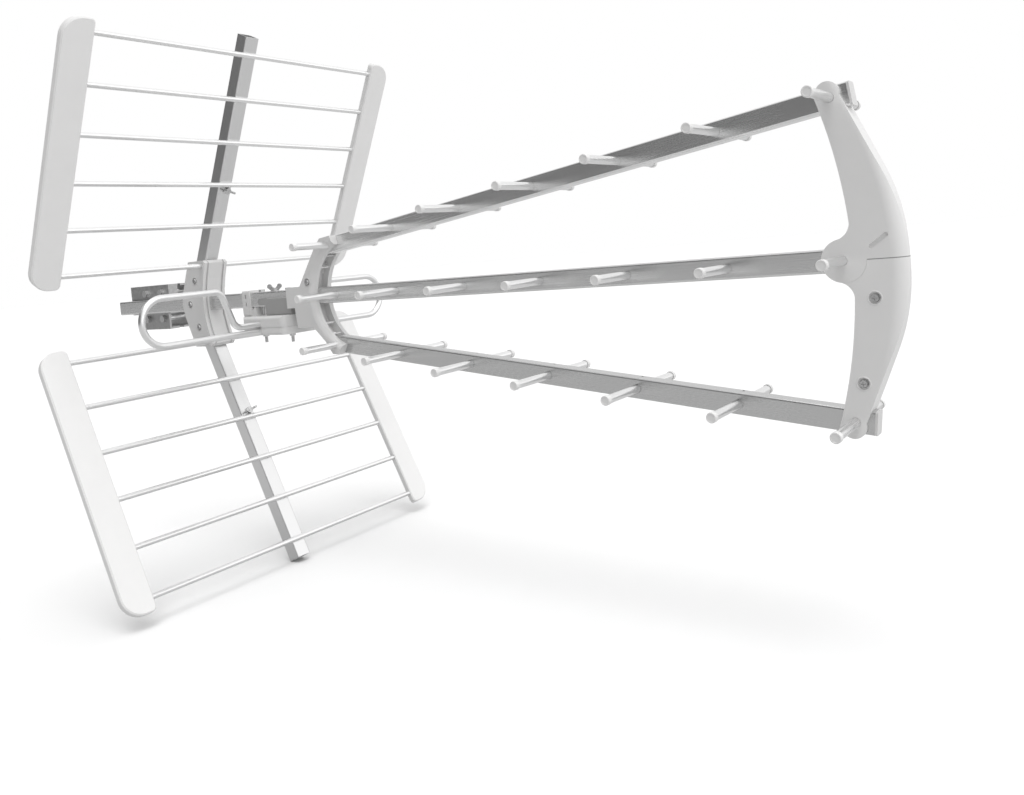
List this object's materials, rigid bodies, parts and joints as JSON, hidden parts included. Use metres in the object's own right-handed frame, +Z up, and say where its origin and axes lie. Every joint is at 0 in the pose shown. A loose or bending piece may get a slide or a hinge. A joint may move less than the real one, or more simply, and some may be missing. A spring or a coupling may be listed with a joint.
{
  "type": "outdoor tv antenna",
  "caption": "Outdoor TV antenna: converging booms of rod directors, folding rod reflector, folded dipole in a box, moulded front yoke and a clamp for a round mast.",
  "frame": {"origin": "on the mast's axis, level with the middle boom", "axes": "+X forward along the middle boom to the front yoke, +Z up along the mast, +Y from the boom towards the mast and its clamp"},
  "size_m": [1.129, 0.495, 0.6912],
  "materials": {
    "boom_aluminium": "satin",
    "rod_aluminium": "satin",
    "white_plastic": "moulded satin",
    "light_grey_plastic": "moulded satin",
    "mid_grey_plastic": "moulded satin",
    "plated_steel": "zinc plated",
    "galvanised_steel": "galvanised",
    "black_plastic": "moulded",
    "circuit_board": "lacquered"
  },
  "bodies": {
    "root": {"middle_boom": "boom_aluminium", "upper_boom": "boom_aluminium", "lower_boom": "boom_aluminium", "upper_spine": "boom_aluminium", "lower_spine": "boom_aluminium", "upper_director_1": "rod_aluminium", "upper_director_2": "rod_aluminium", "upper_director_3": "rod_aluminium", "upper_director_4": "rod_aluminium", "upper_director_5": "rod_aluminium", "upper_director_6": "rod_aluminium", "upper_director_7": "rod_aluminium", "middle_director_1": "rod_aluminium", "middle_director_2": "rod_aluminium", "middle_director_3": "rod_aluminium", "middle_director_4": "rod_aluminium", "middle_director_5": "rod_aluminium", "middle_director_6": "rod_aluminium", "middle_director_7": "rod_aluminium", "lower_director_1": "rod_aluminium", "lower_director_2": "rod_aluminium", "lower_director_3": "rod_aluminium", "lower_director_4": "rod_aluminium", "lower_director_5": "rod_aluminium", "lower_director_6": "rod_aluminium", "lower_director_7": "rod_aluminium", "upper_rod_1": "rod_aluminium", "upper_rod_2": "rod_aluminium", "upper_rod_3": "rod_aluminium", "upper_rod_4": "rod_aluminium", "upper_rod_5": "rod_aluminium", "upper_rod_6": "rod_aluminium", "lower_rod_1": "rod_aluminium", "lower_rod_2": "rod_aluminium", "lower_rod_3": "rod_aluminium", "lower_rod_4": "rod_aluminium", "lower_rod_5": "rod_aluminium", "lower_rod_6": "rod_aluminium", "left_dipole": "rod_aluminium", "right_dipole": "rod_aluminium", "director_caps": "white_plastic", "boom_end_plugs": "white_plastic", "upper_left_strip": "white_plastic", "upper_right_strip": "white_plastic", "lower_left_strip": "white_plastic", "lower_right_strip": "white_plastic", "yoke_upper_arm": "white_plastic", "yoke_lower_arm": "white_plastic", "reflector_bracket": "light_grey_plastic", "arc_bracket": "light_grey_plastic", "dipole_cover": "light_grey_plastic", "dipole_housing": "mid_grey_plastic", "wing_screws": "plated_steel", "moulding_screws": "plated_steel", "box_bolts": "plated_steel", "clamp_bolts": "plated_steel", "mast_bracket": "galvanised_steel", "mast_jaw": "galvanised_steel", "clamp_wing_nuts": "black_plastic", "feed_board": "circuit_board"}
  },
  "joints": []
}
